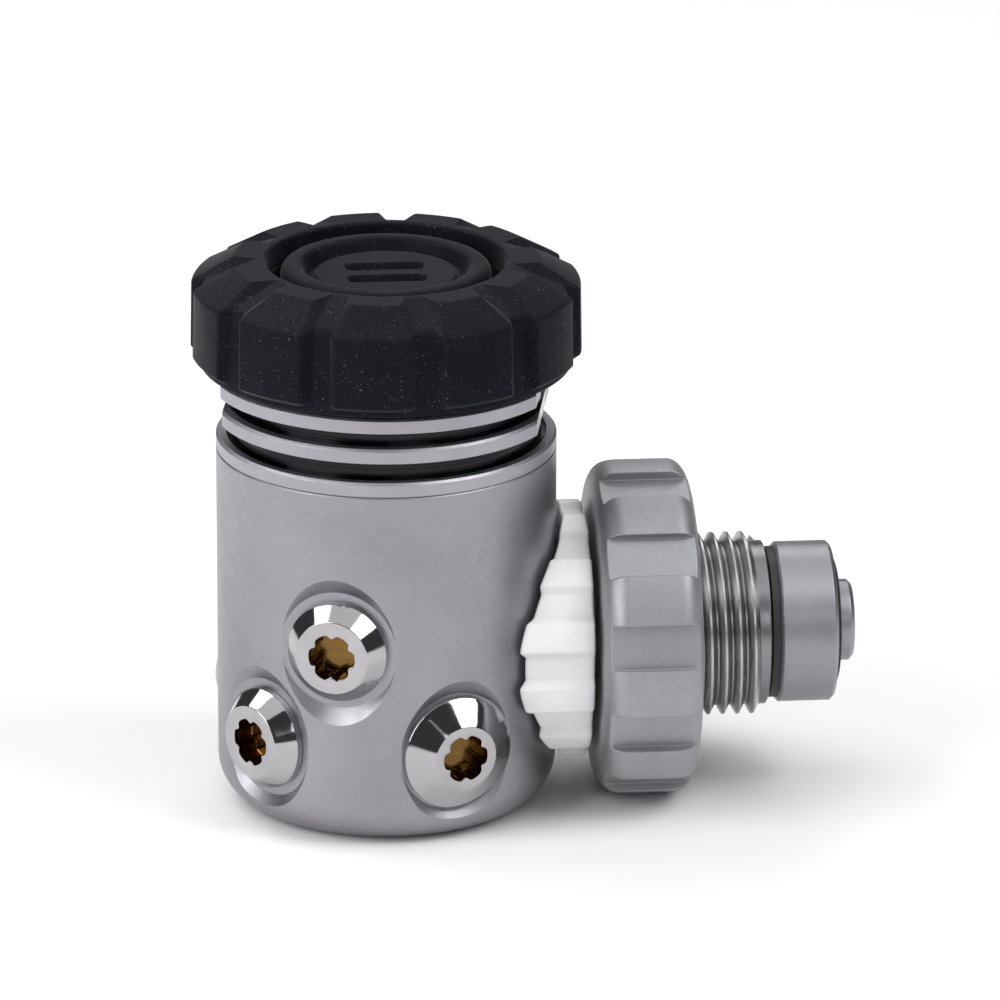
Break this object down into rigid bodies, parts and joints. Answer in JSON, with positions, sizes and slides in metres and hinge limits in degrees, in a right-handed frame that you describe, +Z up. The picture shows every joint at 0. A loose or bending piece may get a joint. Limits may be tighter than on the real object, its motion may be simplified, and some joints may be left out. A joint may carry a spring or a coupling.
{
  "type": "diving regulator first stage",
  "caption": "Balanced-diaphragm diving regulator first stage with a threaded cylinder connector, lobed handwheel, plugged hose ports and a rubber-capped spring housing.",
  "frame": {"origin": "centre of the body's flat base", "axes": "+Z up along the body's axis, +X along the inlet's axis towards the cylinder valve, -Y towards the front, where the visible port plugs are"},
  "size_m": [0.0818, 0.048, 0.0693],
  "materials": {
    "satin_chrome": "satin chrome plate over brass",
    "satin_wheel": "satin, slightly darker and coarser",
    "bright_chrome": "polished",
    "boot_rubber": "matt moulded rubber",
    "silicone": "smooth",
    "white_plastic": "moulded, off-white",
    "black_plastic": "turned",
    "plain_brass": "turned",
    "stainless": "turned",
    "spring_steel": "drawn wire",
    "o_ring_rubber": "smooth"
  },
  "bodies": {
    "first_stage": {"body": "satin_chrome", "spring_housing": "satin_chrome", "inlet_stem": "satin_chrome", "inlet_nozzle": "satin_chrome", "low_pressure_plugs": "bright_chrome", "high_pressure_plugs": "bright_chrome", "protective_boot": "boot_rubber", "ambient_membrane": "silicone", "diaphragm": "silicone", "fluted_collar": "white_plastic", "stem_washer": "black_plastic", "spring_adjuster": "plain_brass", "membrane_ring": "plain_brass", "diaphragm_washer": "plain_brass", "balance_bushing": "plain_brass", "inlet_filter": "plain_brass", "valve_seat": "stainless", "main_spring": "spring_steel", "poppet_spring": "spring_steel", "valve_seat_o_ring": "o_ring_rubber", "balance_o_ring": "o_ring_rubber", "low_pressure_o_rings": "o_ring_rubber", "high_pressure_o_rings": "o_ring_rubber", "stem_o_ring": "o_ring_rubber", "face_o_ring": "o_ring_rubber"},
    "din_wheel": {"handwheel": "satin_wheel", "threaded_sleeve": "bright_chrome"},
    "load_train": {"membrane_pad": "boot_rubber", "load_transmitter": "white_plastic", "spring_pad": "plain_brass"},
    "lifter": {"lifter_pin": "stainless"},
    "valve_poppet": {"poppet": "stainless", "poppet_seat_disc": "black_plastic"}
  },
  "joints": [
    {"name": "handwheel_turn", "type": "hinge", "parent": "first_stage", "child": "din_wheel", "pos_m": [0, 0, 0.02075], "axis": [1, 0, 0], "continuous": true},
    {"name": "membrane_press", "type": "slide", "parent": "first_stage", "child": "load_train", "axis": [0, 0, 1], "range_m": [0, 0.00085], "stiffness_N_per_m": 7100, "deforming": ["main_spring", "ambient_membrane", "diaphragm"]},
    {"name": "lifter_slide", "type": "slide", "parent": "first_stage", "child": "lifter", "axis": [0, 0, 1], "range_m": [0, 0.00085]},
    {"name": "poppet_slide", "type": "slide", "parent": "first_stage", "child": "valve_poppet", "axis": [0, 0, 1], "range_m": [0, 0.00085], "deforming": ["poppet_spring"]}
  ],
  "couplings": [
    {"joint": "lifter_slide", "follows": "membrane_press", "ratio": 1},
    {"joint": "poppet_slide", "follows": "membrane_press", "ratio": 1}
  ]
}
